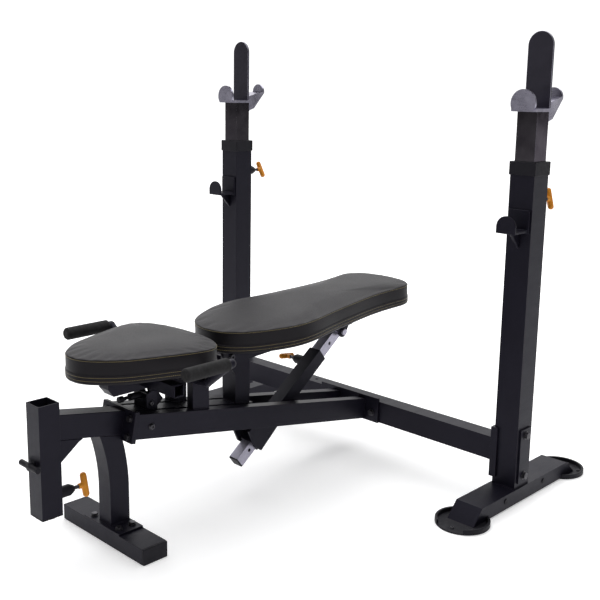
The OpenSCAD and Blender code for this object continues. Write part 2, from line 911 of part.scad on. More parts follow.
module foam_grips() {
    color(plastic_colour) both_sides() difference() {
        union() {
            rod_y(grip_y[0] + 4, grip_y[1], grip_radius, grip_x, grip_z);
            rod_y(grip_y[0], grip_y[0] + 4, grip_radius - 3, grip_x, grip_z);
        }
        rod_y(bar_front_y, grip_y[1] + 1, bar_radius, grip_x, grip_z);
    }
}

// ---- Backrest ----

backrest_outline = pad_outline(backrest_length, backrest_widths, backrest_caps);

module backrest_pad() {
    color(vinyl_colour) translate(backrest_centre) rotate([backrest_tilt, 0, 0])
        cushion(backrest_outline, pad_depth - board_thickness, backrest_crown);
}

module backrest_board() {
    color(wood_colour) translate(backrest_centre) rotate([backrest_tilt, 0, 0])
        board(backrest_outline, pad_depth);
}

// Height of the cushion's underside above the hinge axis, across the cushion
back_centre_rel = backrest_centre - back_hinge;
back_under = back_centre_rel[2] * cos(backrest_tilt) - back_centre_rel[1] * sin(backrest_tilt) - pad_depth;
strut_top_rel = strut_top - back_hinge;
ear_y = strut_top_rel[1] * cos(backrest_tilt) + strut_top_rel[2] * sin(backrest_tilt);
ear_z = strut_top_rel[2] * cos(backrest_tilt) - strut_top_rel[1] * sin(backrest_tilt);
back_rail_inner = 26;
back_rail_outer = 46;
back_rail_depth = 40;
stub_radius = 10;

module backrest_rails() {
    low = back_under - back_rail_depth;
    ear = [[ear_y - 45, low + 4], [ear_y - 17, ear_z], [ear_y + 17, ear_z], [ear_y + 34, low + 4]];
    color(frame_colour) both_sides() on_backrest() difference() {
        union() {
            block([back_rail_inner, -12, low + 12], [back_rail_outer, ear_y + 20, back_under]);
            block([back_rail_inner, 0, low], [back_rail_outer, ear_y + 20, low + 12]);
            rod_x(back_rail_inner, back_rail_outer, 12, 0, low + 12);
            block([back_rail_inner, ear_y + 20, low + 20], [back_rail_outer, ear_y + 40, back_under]);
            rod_x(back_rail_inner, back_rail_outer, 20, ear_y + 20, low + 20);
            plate_x(back_rail_inner, back_rail_inner + 6, ear);
            rod_x(back_rail_inner, back_rail_inner + 6, 17, ear_y, ear_z);
        }
        block([back_rail_inner + wall, 20, low + wall], [back_rail_outer - wall, ear_y, back_under - wall]);
        rod_x(0, 60, back_bolt_radius + fit_gap, 0, 0);
        rod_x(0, 60, stub_radius, ear_y, ear_z);
    }
}

module strut_pivot_stubs() {
    color(zinc_colour) both_sides() on_backrest()
        rod_x(strut_tube_size / 2 + body_gap, 40, stub_radius, ear_y, ear_z);
}

// ---- Strut ----

sleeve_low = -44;
sleeve_high = 304;
sleeve_half = [21, 19.5];
sleeve_bore = strut_tube_size / 2 + body_gap;
strut_pin_y = 265;

module strut_sleeve() {
    color(frame_colour) on_strut() {
        difference() {
            block([-sleeve_half[0], sleeve_low, -sleeve_half[1]],
                  [sleeve_half[0], sleeve_high, sleeve_half[1]]);
            block([-sleeve_bore, sleeve_low - 1, -sleeve_bore], [sleeve_bore, sleeve_high + 1, sleeve_bore]);
            rod_x(-30, 0, pin_radius + fit_gap, strut_pin_y, 0);
        }
        both_sides() rod_x(sleeve_half[0], rail_inner_x - body_gap, 8, 0, 0);
    }
}

module strut_pin_housing() {
    color(plastic_colour) on_strut()
        translate([-sleeve_half[0], strut_pin_y, 0]) rotate([0, 0, 90]) pin_housing();
}

module strut_pin() {
    on_strut() translate([-sleeve_half[0], strut_pin_y, 0]) rotate([0, 0, 90]) pull_pin(-2.5, 135);
}

strut_tube_low = -105;
strut_hole_steps = [-61, 16, 93, 170, 247, 347];

module strut_tube() {
    half = strut_tube_size / 2;
    color(zinc_colour) on_strut() difference() {
        tube([-half, strut_tube_low, -half], [half, strut_length + 14, half], wall, 1);
        for (y = strut_hole_steps) rod_x(-30, 30, 5, y, 0);
        rod_x(-30, 30, stub_radius, strut_length, 0);
    }
}

module strut_tube_plug() {
    half = strut_tube_size / 2;
    color(plastic_colour) on_strut() {
        block([-half, strut_tube_low - 4, -half], [half, strut_tube_low, half]);
        block([-half + wall, strut_tube_low, -half + wall], [half - wall, strut_tube_low + 16, half - wall]);
    }
}

crossbar();
crossbar_end_flanges();
rail_left();
rail_right();
centre_tube();
rail_spacers();
rear_flange();
beam_front_flange();
front_tube_flange();
front_tube();
receiver_post();
receiver_plug();
post_gusset();
front_leg();
leg_base_plate();
front_foot();
front_foot_caps();
upright_left();
upright_right();
upright_bolt_plates();
upright_collars();
rear_foot_left();
rear_foot_right();
rear_foot_plugs();
foot_discs();
lower_hook_left();
lower_hook_right();
strut_gussets();
seat_hinge_posts();
backrest_post();
seat_clevis();
frame_bolts();
frame_pin_housings();
inner_upright_left();
inner_upright_right();
hook_cradle_left();
hook_cradle_right();
hook_blade_left();
hook_blade_right();
upright_pin_left();
upright_pin_right();
receiver_pin();
clamp_screw();
seat_pin();
seat_pad();
seat_board();
seat_beam();
seat_cross_arms();
seat_handle_bars();
foam_grips();
backrest_pad();
backrest_board();
backrest_rails();
strut_pivot_stubs();
strut_sleeve();
strut_pin_housing();
strut_tube();
strut_tube_plug();
strut_pin();
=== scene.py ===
"""Looks of the bench press: materials, sewn cushions, moulded handles, welds, light and camera."""
import json
import math

import bmesh
import bpy
import numpy as np
from mathutils import Matrix, Vector


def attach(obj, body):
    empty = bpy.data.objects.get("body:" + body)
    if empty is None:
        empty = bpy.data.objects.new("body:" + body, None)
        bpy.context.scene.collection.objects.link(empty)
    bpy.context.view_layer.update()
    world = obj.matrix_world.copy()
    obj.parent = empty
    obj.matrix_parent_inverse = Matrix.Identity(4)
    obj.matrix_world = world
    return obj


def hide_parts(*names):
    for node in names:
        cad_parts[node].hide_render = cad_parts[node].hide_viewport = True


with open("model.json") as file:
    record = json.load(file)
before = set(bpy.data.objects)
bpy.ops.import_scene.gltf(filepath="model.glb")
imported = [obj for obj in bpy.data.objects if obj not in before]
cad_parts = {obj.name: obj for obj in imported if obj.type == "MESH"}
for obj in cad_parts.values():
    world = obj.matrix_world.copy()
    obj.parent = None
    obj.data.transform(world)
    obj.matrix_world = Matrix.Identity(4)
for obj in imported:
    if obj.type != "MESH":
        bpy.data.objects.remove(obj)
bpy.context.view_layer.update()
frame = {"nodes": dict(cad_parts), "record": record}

MM = 0.001
MATERIAL_OF_SLOT = {}


# ---- Materials ----


class Nodes:
    """A material's node tree, with short calls for the nodes used here."""

    def __init__(self, name):
        self.material = bpy.data.materials.new(name)
        self.material.use_nodes = True
        self.tree = self.material.node_tree
        self.bsdf = self.tree.nodes["Principled BSDF"]
        self.place = self.tree.nodes.new("ShaderNodeTexCoord").outputs["Object"]

    def link(self, output, socket):
        self.tree.links.new(output, socket)

    def add(self, kind, **settings):
        node = self.tree.nodes.new(kind)
        for key, value in settings.items():
            setattr(node, key, value)
        return node

    def stretched(self, scale):
        """Coordinates scaled by a different amount along each axis, for brushed or woven marks."""
        mapping = self.add("ShaderNodeMapping")
        mapping.inputs["Scale"].default_value = scale
        self.link(self.place, mapping.inputs["Vector"])
        return mapping.outputs["Vector"]

    def noise(self, scale, detail=3.0, roughness=0.5, place=None):
        node = self.add("ShaderNodeTexNoise")
        node.inputs["Scale"].default_value = scale
        node.inputs["Detail"].default_value = detail
        node.inputs["Roughness"].default_value = roughness
        self.link(place or self.place, node.inputs["Vector"])
        return node.outputs["Fac"]

    def cells(self, scale, feature="F1", place=None):
        node = self.add("ShaderNodeTexVoronoi", feature=feature)
        node.inputs["Scale"].default_value = scale
        self.link(place or self.place, node.inputs["Vector"])
        return node.outputs["Distance"]

    def ramp(self, value, low, high, to_low=0.0, to_high=1.0):
        node = self.add("ShaderNodeMapRange")
        for key, number in (("From Min", low), ("From Max", high), ("To Min", to_low), ("To Max", to_high)):
            node.inputs[key].default_value = number
        self.link(value, node.inputs["Value"])
        return node.outputs["Result"]

    def maths(self, operation, a, b):
        node = self.add("ShaderNodeMath", operation=operation)
        for socket, value in zip(node.inputs, (a, b)):
            if isinstance(value, (int, float)):
                socket.default_value = value
            else:
                self.link(value, socket)
        return node.outputs["Value"]

    def colour(self, factor, dark, light):
        node = self.add("ShaderNodeMix", data_type="RGBA")
        node.inputs["A"].default_value = (*dark, 1)
        node.inputs["B"].default_value = (*light, 1)
        self.link(factor, node.inputs["Factor"])
        self.link(node.outputs["Result"], self.bsdf.inputs["Base Color"])

    def roughness(self, factor, low, high):
        self.link(self.ramp(factor, 0.3, 0.7, low, high), self.bsdf.inputs["Roughness"])

    def bump(self, *layers):
        """Each layer is (height, strength, distance in metres)."""
        normal = None
        for height, strength, distance in layers:
            node = self.add("ShaderNodeBump")
            node.inputs["Strength"].default_value = strength
            node.inputs["Distance"].default_value = distance
            self.link(height, node.inputs["Height"])
            if normal is not None:
                self.link(normal, node.inputs["Normal"])
            normal = node.outputs["Normal"]
        self.link(normal, self.bsdf.inputs["Normal"])

    def set(self, **values):
        for key, value in values.items():
            self.bsdf.inputs[key.replace("_", " ")].default_value = value


def powder_coat():
    """Black powder coat: fine orange peel, faint cloudiness and light scuffs."""
    m = Nodes("black_powder_coat")
    cloud = m.noise(6.0, 4.0)
    m.colour(m.ramp(cloud, 0.3, 0.7), (0.0056, 0.0052, 0.0092), (0.0084, 0.0078, 0.0132))
    scuffs = m.noise(40.0, 6.0, 0.65, m.stretched((1.0, 0.25, 1.0)))
    m.roughness(m.maths("ADD", m.maths("MULTIPLY", scuffs, 0.6), m.maths("MULTIPLY", cloud, 0.4)), 0.36, 0.5)
    m.bump((m.noise(700.0, 2.0), 0.35, 0.00025), (m.noise(2600.0, 1.0), 0.2, 0.0001))
    m.set(Specular_IOR_Level=0.15, Specular_Tint=(0.80, 0.77, 1.0, 1))
    m.set(Coat_Weight=0.03, Coat_Roughness=0.3)
    return m.material


def moulded_plastic(name, dark, light, grain=1400.0, low=0.45, high=0.6):
    """Moulded plastic with a fine spark-eroded grain and slight tone variation."""
    m = Nodes(name)
    tone = m.noise(18.0, 3.0)
    m.colour(m.ramp(tone, 0.3, 0.7), dark, light)
    m.roughness(m.noise(90.0, 4.0), low, high)
    m.bump((m.noise(grain, 2.0), 0.3, 0.00015), (m.noise(60.0, 2.0), 0.1, 0.0004))
    m.set(Specular_IOR_Level=0.18, Specular_Tint=(0.88, 0.86, 1.0, 1))
    return m.material


def orange_plastic():
    m = Nodes("orange_moulded_plastic")
    m.colour(m.ramp(m.noise(30.0, 3.0), 0.3, 0.7), (0.56, 0.20, 0.010), (0.70, 0.27, 0.015))
    m.roughness(m.noise(140.0, 4.0), 0.32, 0.46)
    m.bump((m.noise(900.0, 2.0), 0.25, 0.00015))
    m.set(Specular_IOR_Level=0.35, Subsurface_Weight=0.05, Subsurface_Scale=0.004)
    return m.material


def chrome_painted_dark_reflection():
    """Chrome with drawing lines and faint finger marks; its base colour is darkened to paint in the dark
    reflection of the room.
    """
    m = Nodes("chrome_painted_dark_reflection")
    smears = m.noise(22.0, 5.0)
    # painted reflection: the very dark base colour stands in for the chrome mirroring a dark room; the smears
    # vary it as finger marks
    m.colour(m.ramp(smears, 0.3, 0.7), (0.036, 0.032, 0.038), (0.066, 0.060, 0.068))
    lines = m.noise(500.0, 3.0, 0.5, m.stretched((1.0, 1.0, 0.03)))
    m.roughness(m.maths("ADD", m.maths("MULTIPLY", smears, 0.5), m.maths("MULTIPLY", lines, 0.5)), 0.08, 0.2)
    m.bump((lines, 0.12, 0.0001))
    m.set(Metallic=1.0, Specular_Tint=(0.75, 0.72, 0.78, 1))
    return m.material


# painted highlight: a light metal laid on the rounded edges of the satin nickel plate
def bright_edge():
    m = Nodes("painted_highlight_edge")
    m.colour(m.ramp(m.noise(200.0, 3.0), 0.3, 0.7), (0.62, 0.60, 0.66), (0.80, 0.78, 0.84))
    m.roughness(m.noise(300.0, 3.0), 0.18, 0.3)
    m.bump((m.noise(900.0, 2.0), 0.1, 0.0001))
    m.set(Metallic=1.0)
    return m.material


def satin_nickel():
    m = Nodes("satin_nickel_plate")
    smears = m.noise(35.0, 5.0)
    m.colour(m.ramp(smears, 0.3, 0.7), (0.26, 0.25, 0.31), (0.36, 0.345, 0.42))
    grain = m.noise(900.0, 3.0, 0.55, m.stretched((0.05, 1.0, 1.0)))
    m.roughness(m.maths("ADD", m.maths("MULTIPLY", smears, 0.4), m.maths("MULTIPLY", grain, 0.6)), 0.22, 0.36)
    m.bump((grain, 0.15, 0.00012), (m.noise(120.0, 2.0), 0.08, 0.0003))
    m.set(Metallic=1.0)
    return m.material


def blade_painted_dark_reflection():
    """Plating on the tall blades with vertical brushing; its base colour is darkened to paint in the dark
    reflection of the room.
    """
    m = Nodes("plate_painted_dark_reflection")
    # painted reflection: the dark base colour stands in for the plated blade mirroring a dark room
    m.colour(m.ramp(m.noise(14.0, 4.0), 0.3, 0.7), (0.022, 0.020, 0.030), (0.034, 0.031, 0.045))
    brushing = m.noise(800.0, 3.0, 0.6, m.stretched((1.0, 1.0, 0.04)))
    m.roughness(brushing, 0.28, 0.42)
    m.bump((brushing, 0.15, 0.0001))
    m.set(Metallic=0.6, Specular_IOR_Level=0.5)
    return m.material


def zinc_plate():
    """Zinc plating: pale lavender grey with a faint crystal pattern and a fine grain."""
    m = Nodes("zinc_plated_steel")
    spangle = m.cells(160.0)
    cloud = m.noise(24.0, 5.0)
    m.colour(m.ramp(m.maths("ADD", m.maths("MULTIPLY", spangle, 0.3), cloud), 0.3, 0.9),
             (0.30, 0.29, 0.355), (0.43, 0.415, 0.50))
    m.roughness(cloud, 0.30, 0.46)
    m.bump((m.noise(650.0, 3.0), 0.15, 0.00012))
    m.set(Metallic=0.85)
    return m.material


def bolt_steel():
    m = Nodes("black_oxide_bolts")
    m.colour(m.ramp(m.noise(120.0, 4.0), 0.3, 0.7), (0.035, 0.034, 0.040), (0.085, 0.082, 0.092))
    m.roughness(m.noise(300.0, 4.0), 0.28, 0.5)
    m.bump((m.noise(1500.0, 2.0), 0.2, 0.0001))
    m.set(Metallic=0.9)
    return m.material


def grained_vinyl():
    """Black upholstery vinyl: pebble grain with fine creases and a soft sheen."""
    m = Nodes("black_grained_vinyl")
    pebbles = m.cells(620.0, "SMOOTH_F1")
    creases = m.cells(260.0, "DISTANCE_TO_EDGE")
    pores = m.noise(2400.0, 2.0)
    cloud = m.noise(9.0, 4.0)
    m.colour(m.ramp(cloud, 0.3, 0.7), (0.0036, 0.0031, 0.0038), (0.0054, 0.0047, 0.0057))
    m.roughness(m.maths("ADD", m.maths("MULTIPLY", cloud, 0.5), m.maths("MULTIPLY", pebbles, 0.7)), 0.40, 0.54)
    m.bump((m.ramp(creases, 0.0, 0.12), 0.22, 0.00025), (pebbles, 0.38, 0.0003), (pores, 0.12, 0.00006))
    m.set(Specular_IOR_Level=0.20, Specular_Tint=(0.97, 0.93, 1.0, 1))
    m.set(Sheen_Weight=0.03, Sheen_Roughness=0.45, Sheen_Tint=(0.75, 0.72, 0.8, 1))
    return m.material


def stitch_thread():
    m = Nodes("gold_stitch_thread")
    m.colour(m.ramp(m.noise(500.0, 3.0), 0.3, 0.7), (0.115, 0.085, 0.022), (0.20, 0.155, 0.045))
    m.roughness(m.noise(900.0, 3.0), 0.5, 0.7)
    m.bump((m.noise(3000.0, 2.0, 0.5, m.stretched((1.0, 0.3, 1.0))), 0.4, 0.0001))
    m.set(Sheen_Weight=0.3)
    return m.material


def dust_cover():
    """Black non-woven cloth under the cushions."""
    m = Nodes("black_dust_cover")
    fibres = m.noise(900.0, 6.0, 0.8)
    m.colour(m.ramp(fibres, 0.35, 0.7), (0.010, 0.010, 0.011), (0.024, 0.023, 0.025))
    m.roughness(fibres, 0.8, 0.95)
    m.bump((fibres, 0.5, 0.0004))
    return m.material


def closed_foam():
    """Closed-cell foam of the grips."""
    m = Nodes("black_foam")
    cells = m.cells(900.0, "F1")
    m.colour(m.ramp(m.noise(60.0, 5.0), 0.3, 0.7), (0.0085, 0.0083, 0.0088), (0.0170, 0.0164, 0.0175))
    m.roughness(m.noise(200.0, 4.0), 0.78, 0.92)
    m.bump((cells, 0.5, 0.0003), (m.noise(130.0, 4.0), 0.3, 0.0006))
    m.set(Specular_IOR_Level=0.3)
    return m.material


def plywood():
    m = Nodes("plywood_board")
    grain = m.noise(90.0, 5.0, 0.6, m.stretched((1.0, 0.08, 4.0)))
    m.colour(m.ramp(grain, 0.3, 0.7), (0.16, 0.09, 0.045), (0.30, 0.19, 0.10))
    m.roughness(grain, 0.6, 0.8)
    m.bump((grain, 0.3, 0.0003))
    return m.material


def pale_floor():
    """Pale studio floor that glows, a painted light that grows towards the backdrop until it is plain white,
    so no horizon shows.
    """
    m = Nodes("pale_floor")
    m.colour(m.ramp(m.noise(1.2, 3.0), 0.3, 0.7), (0.90, 0.90, 0.905), (0.92, 0.92, 0.925))
    m.roughness(m.noise(3.0, 3.0), 0.62, 0.75)
    away = m.add("ShaderNodeVectorMath", operation="DOT_PRODUCT")
    away.inputs[1].default_value = BACKDROP_WAY
    m.link(m.place, away.inputs[0])
    # painted light: the floor glows, faintly by the bench and at full white towards the backdrop
    m.link(m.ramp(away.outputs["Value"], 1.0, 4.0, 0.32, 1.0), m.bsdf.inputs["Emission Strength"])
    m.set(Emission_Color=(1, 1, 1, 1))
    return m.material


frame_paint = powder_coat()
black_plastic = moulded_plastic("black_moulded_plastic", (0.0060, 0.0058, 0.0075), (0.0095, 0.0092, 0.0115))
orange = orange_plastic()
bolts = bolt_steel()
vinyl = grained_vinyl()
thread = stitch_thread()
cover_cloth = dust_cover()
foam = closed_foam()
MATERIAL_OF_SLOT.update(
    frame_paint=frame_paint, plastic=black_plastic, bolt_steel=bolts, chrome_tube=chrome_painted_dark_reflection(),
    nickel_plate=satin_nickel(), dark_plate=blade_painted_dark_reflection(), orange_handle=orange, vinyl=vinyl,
    pad_board=plywood(), foam=foam, zinc_tube=zinc_plate(), bright_edge=bright_edge(),
)


# ---- CAD nodes: their materials and softened edges ----

EDGE_RADIUS = {
    "frame_paint": 1.8 * MM, "plastic": 1.4 * MM, "bolt_steel": 0.4 * MM, "chrome_tube": 2.2 * MM,
    "nickel_plate": 0.9 * MM, "dark_plate": 0.9 * MM, "zinc_tube": 1.6 * MM,
}
# painted highlight: the rounded edges of these plated parts get a lighter metal, standing in for the light
# they reflect
PAINTED_EDGE_HIGHLIGHT = {"chrome_tube": "nickel_plate", "nickel_plate": "bright_edge", "dark_plate": "zinc_tube"}
SHARP_ANGLE = math.radians(32)


def dress_node(name, slot_name):
    """Gives a CAD node its material, and rounded edges by modifiers that leave its own vertices alone; on
    plated parts the rounded edges get a lighter metal as a painted highlight.
    """
    node = frame["nodes"][name]
    node.data.materials.clear()
    node.data.materials.append(MATERIAL_OF_SLOT[slot_name])
    if slot_name in PAINTED_EDGE_HIGHLIGHT:
        node.data.materials.append(MATERIAL_OF_SLOT[PAINTED_EDGE_HIGHLIGHT[slot_name]])
    if "custom_normal" in node.data.attributes:
        node.data.attributes.remove(node.data.attributes["custom_normal"])
    for polygon in node.data.polygons:
        polygon.use_smooth = True
        polygon.material_index = 0
    radius = EDGE_RADIUS.get(slot_name)
    if radius:
        weld = node.modifiers.new("join", "WELD")
        weld.merge_threshold = 0.01 * MM
        flats = node.modifiers.new("flats", "DECIMATE")
        flats.decimate_type = "DISSOLVE"
        flats.angle_limit = math.radians(0.8)
        bevel = node.modifiers.new("edges", "BEVEL")
        bevel.width = radius
        bevel.segments = 2
        bevel.limit_method = "ANGLE"
        bevel.angle_limit = SHARP_ANGLE
        bevel.miter_outer = "MITER_SHARP"
        # painted highlight: the bevel faces get the lighter edge metal
        bevel.material = 1 if slot_name in PAINTED_EDGE_HIGHLIGHT else -1
        normals = node.modifiers.new("normals", "WEIGHTED_NORMAL")
        normals.mode = "FACE_AREA"
        normals.weight = 100


for part in frame["record"]["subparts"]:
    dress_node(part["node"], part["material_slot"])


# ---- Mesh helpers ----


def new_object(name, vertices, faces, material, smooth=True):
    mesh = bpy.data.meshes.new(name)
    mesh.from_pydata([tuple(v) for v in vertices], [], faces)
    mesh.validate()
    mesh.materials.append(material)
    for polygon in mesh.polygons:
        polygon.use_smooth = smooth
    piece = bpy.data.objects.new(name, mesh)
    bpy.context.scene.collection.objects.link(piece)
    return piece


def apply_modifiers(piece):
    graph = bpy.context.evaluated_depsgraph_get()
    mesh = bpy.data.meshes.new_from_object(piece.evaluated_get(graph))
    piece.modifiers.clear()
    piece.data = mesh
    for polygon in mesh.polygons:
        polygon.use_smooth = True


def moulded_copy(name, node, voxel, rounds, materials):
    """A smooth one-piece copy of a CAD node, with soft blends where its shapes meet."""
    piece = bpy.data.objects.new(name, frame["nodes"][node].data.copy())
    bpy.context.scene.collection.objects.link(piece)
    remesh = piece.modifiers.new("remesh", "REMESH")
    remesh.mode = "VOXEL"
    remesh.voxel_size = voxel
    smooth = piece.modifiers.new("smooth", "SMOOTH")
    smooth.iterations = rounds
    smooth.factor = 0.5
    apply_modifiers(piece)
    piece.data.materials.clear()
    for material in materials:
        piece.data.materials.append(material)
    return piece


# ---- Cushions ----

OUTLINE_POINTS = 200
SEAM_MATCH = 0.3 * MM
CLOTH_FRAMES = 20


def seam_outline(node, to_local):
    """The cushion's seam line, as the CAD solid has it, resampled evenly by arc length."""
    points = [to_local @ v.co for v in frame["nodes"][node].data.vertices]
    ring = {(round(p.x, 5), round(p.y, 5)) for p in points if abs(p.z) < SEAM_MATCH}
    ring = np.array(sorted(ring, key=lambda p: math.atan2(p[0], p[1])))
    closed = np.vstack([ring, ring[:1]])
    lengths = np.concatenate([[0], np.cumsum(np.linalg.norm(np.diff(closed, axis=0), axis=1))])
    steps = np.linspace(0, lengths[-1], OUTLINE_POINTS, endpoint=False)
    even = np.column_stack([np.interp(steps, lengths, closed[:, k]) for k in (0, 1)])
    for _ in range(6):
        even = (np.roll(even, 1, 0) + 2 * even + np.roll(even, -1, 0)) / 4
    return even


def outward(outline):
    """Unit normals that point out of a closed outline."""
    along = np.roll(outline, -1, 0) - np.roll(outline, 1, 0)
    normal = np.column_stack([-along[:, 1], along[:, 0]])
    normal /= np.linalg.norm(normal, axis=1)[:, None]
    if np.sum(normal * outline) < 0:
        normal = -normal
    return normal


SIDE_RINGS = 13
BAND_PROUD = 1.8 * MM


class Cushion:
    """A sewn cushion lofted in rings from its underside to the middle of its top."""

    def __init__(self, name, node, centre, tilt, depth, crown, stitch_depths):
        self.name = name
        self.place = Matrix.Translation(centre) @ Matrix.Rotation(tilt, 4, "X")
        self.outline = seam_outline(node, self.place.inverted())
        self.normal = outward(self.outline)
        self.depth = depth
        self.rings = []
        self.pinned = []
        self.row = {}
        self.add_underside()
        self.add_side(stitch_depths)
        self.add_top(crown)
        self.piece = self.build()

    def ring(self, inset, height, pinned=False, label=None, scale=1.0):
        points = (self.outline - self.normal * inset) * scale
        if label:
            self.row[label] = len(self.rings)
        self.rings.append(np.column_stack([points, np.full(len(points), height)]))
        self.pinned.append(pinned)

    def add_underside(self):
        bottom = -self.depth - 0.6 * MM
        for scale in (0.25, 0.55, 0.78):
            self.ring(0, bottom, True, None, scale)
        self.ring(24 * MM, bottom, True, "fold")
        self.ring(14 * MM, bottom, True)
        self.ring(6 * MM, bottom, True)
        self.ring(2.6 * MM, bottom + 0.5 * MM, True)
        self.ring(0.9 * MM, bottom + 2.2 * MM, True)

    def add_side(self, stitch_depths):
        """Side panel over a stitched band that stands a little proud of it."""
        heights = np.linspace(-self.depth + 5 * MM, -1.5 * MM, SIDE_RINGS)
        low_row, high_row = (int(np.abs(heights + depth).argmin()) for depth in stitch_depths)
        labels = {low_row: "stitch_low", high_row: "stitch_high"}
        for k, height in enumerate(heights):
            proud = BAND_PROUD if k <= high_row + 1 else 0.0
            held = k in labels or k == high_row + 1
            self.ring((1.3 * MM if k in labels else 0.2 * MM) - proud, height, held, labels.get(k))
            if k == high_row + 1:
                self.ring(0.8 * MM - proud, height + 0.6 * MM, True)
                self.ring(0.6 * MM, height + 1.0 * MM, True)

    def add_top(self, crown):
        self.ring(1.0 * MM, 0.0, True, "seam")
        self.ring(1.2 * MM, 1.6 * MM)
        self.ring(3.6 * MM, 3.3 * MM)
        steps = 24
        for k in range(steps):
            scale = 0.965 * (1 - k / steps)
            rise = crown * (1 - scale ** 3.2) * 0.92
            self.ring(0, max(rise, 3.9 * MM + 0.1 * MM * k), False, None, scale)

    def build(self):
        count = OUTLINE_POINTS
        points = np.vstack(self.rings)
        faces = []
        for k in range(len(self.rings) - 1):
            for i in range(count):
                j = (i + 1) % count
                faces.append((k * count + i, k * count + j, (k + 1) * count + j, (k + 1) * count + i))
        middle_bottom = len(points)
        middle_top = middle_bottom + 1
        last = (len(self.rings) - 1) * count
        points = np.vstack([points, [[0, 0, self.rings[0][0][2]], [0, 0, self.rings[-1][0][2]]]])
        for i in range(count):
            j = (i + 1) % count
            faces.append((middle_bottom, j, i))
            faces.append((middle_top, last + i, last + j))
        piece = new_object(self.name, points, faces, vinyl)
        tidy = bmesh.new()
        tidy.from_mesh(piece.data)
        bmesh.ops.recalc_face_normals(tidy, faces=tidy.faces)
        tidy.to_mesh(piece.data)
        tidy.free()
        return piece

    def inflate(self, pressure, cap):
        """Swells the foam under the cover by cloth simulation; seams and the underside are held."""
        piece = self.piece
        count = OUTLINE_POINTS
        held = piece.vertex_groups.new(name="held")
        for k, pinned in enumerate(self.pinned):
            if pinned:
                held.add(list(range(k * count, (k + 1) * count)), 1.0, "REPLACE")
        held.add([len(self.rings) * count], 1.0, "REPLACE")
        rest = np.array([v.co for v in piece.data.vertices])
        cloth = piece.modifiers.new("swell", "CLOTH")
        cloth.settings.quality = 5
        cloth.settings.mass = 0.4
        cloth.settings.tension_stiffness = 25
        cloth.settings.compression_stiffness = 25
        cloth.settings.bending_stiffness = 9.0
        cloth.settings.use_pressure = True
        cloth.settings.uniform_pressure_force = pressure
        cloth.settings.vertex_group_mass = "held"
        cloth.settings.effector_weights.gravity = 0
        cloth.collision_settings.use_collision = False
        cloth.point_cache.frame_start = 1
        cloth.point_cache.frame_end = CLOTH_FRAMES
        for step in range(1, CLOTH_FRAMES + 1):
            bpy.context.scene.frame_set(step)
        apply_modifiers(piece)
        moved = np.array([v.co for v in piece.data.vertices]) - rest
        length = np.linalg.norm(moved, axis=1)
        limit = np.where(length > cap, cap / np.maximum(length, 1e-9), 1.0)
        settled = rest + moved * limit[:, None]
        for vertex, place in zip(piece.data.vertices, settled):
            vertex.co = place
        bpy.context.scene.frame_set(1)

    def ring_points(self, label):
        start = self.row[label] * OUTLINE_POINTS
        return np.array([self.piece.data.vertices[start + i].co for i in range(OUTLINE_POINTS)])

    def cover_underside(self):
        """Faces inside the fold get the dust cover's cloth."""
        mesh = self.piece.data
        mesh.materials.append(cover_cloth)
        limit = (self.row["fold"] + 1) * OUTLINE_POINTS
        middle = len(self.rings) * OUTLINE_POINTS
        for polygon in mesh.polygons:
            if all(i < limit or i == middle for i in polygon.vertices):
                polygon.material_index = 1

    def finish(self, body, node, board):
        self.cover_underside()
        smooth = self.piece.modifiers.new("fine", "SUBSURF")
        smooth.levels = smooth.render_levels = 1
        apply_modifiers(self.piece)
        self.piece.data.transform(self.place)
        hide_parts(node, board)
        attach(self.piece, body)


STITCH_PITCH = 5.2 * MM
STITCH_LENGTH = 4.3 * MM
THREAD_RADIUS = 0.65 * MM
STITCH_SIDES = 6
STITCH_RINGS = ((0.0, 0.35), (0.12, 0.85), (0.5, 1.0), (0.88, 0.85), (1.0, 0.35))


def stitch_row(name, points, cushion, lift, body):
    """Separate thread stitches along a closed line of points, standing just proud of the cover."""
    line = points + np.column_stack([cushion.normal, np.zeros(len(points))]) * lift
    closed = np.vstack([line, line[:1]])
    lengths = np.concatenate([[0], np.cumsum(np.linalg.norm(np.diff(closed, axis=0), axis=1))])
    count = int(lengths[-1] / STITCH_PITCH)
    vertices, faces = [], []

    def at(distance):
        return np.array([np.interp(distance % lengths[-1], lengths, closed[:, k]) for k in range(3)])

    for s in range(count):
        start = at(s * lengths[-1] / count)
        end = at(s * lengths[-1] / count + STITCH_LENGTH)
        along = (end - start) / np.linalg.norm(end - start)
        up = np.array([0, 0, 1.0])
        side = np.cross(along, up)
        base = len(vertices)
        for t, thick in STITCH_RINGS:
            for k in range(STITCH_SIDES):
                turn = 2 * math.pi * k / STITCH_SIDES
                offset = (side * math.cos(turn) + up * math.sin(turn)) * THREAD_RADIUS * thick
                vertices.append(start + (end - start) * t + offset)
        for r in range(len(STITCH_RINGS) - 1):
            for k in range(STITCH_SIDES):
                j = (k + 1) % STITCH_SIDES
                a, b = base + r * STITCH_SIDES, base + (r + 1) * STITCH_SIDES
                faces.append((a + k, a + j, b + j, b + k))
        faces.append(tuple(base + k for k in reversed(range(STITCH_SIDES))))
        top = base + (len(STITCH_RINGS) - 1) * STITCH_SIDES
        faces.append(tuple(top + k for k in range(STITCH_SIDES)))
    piece = new_object(name, vertices, faces, thread)
    piece.data.transform(cushion.place)
    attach(piece, body)


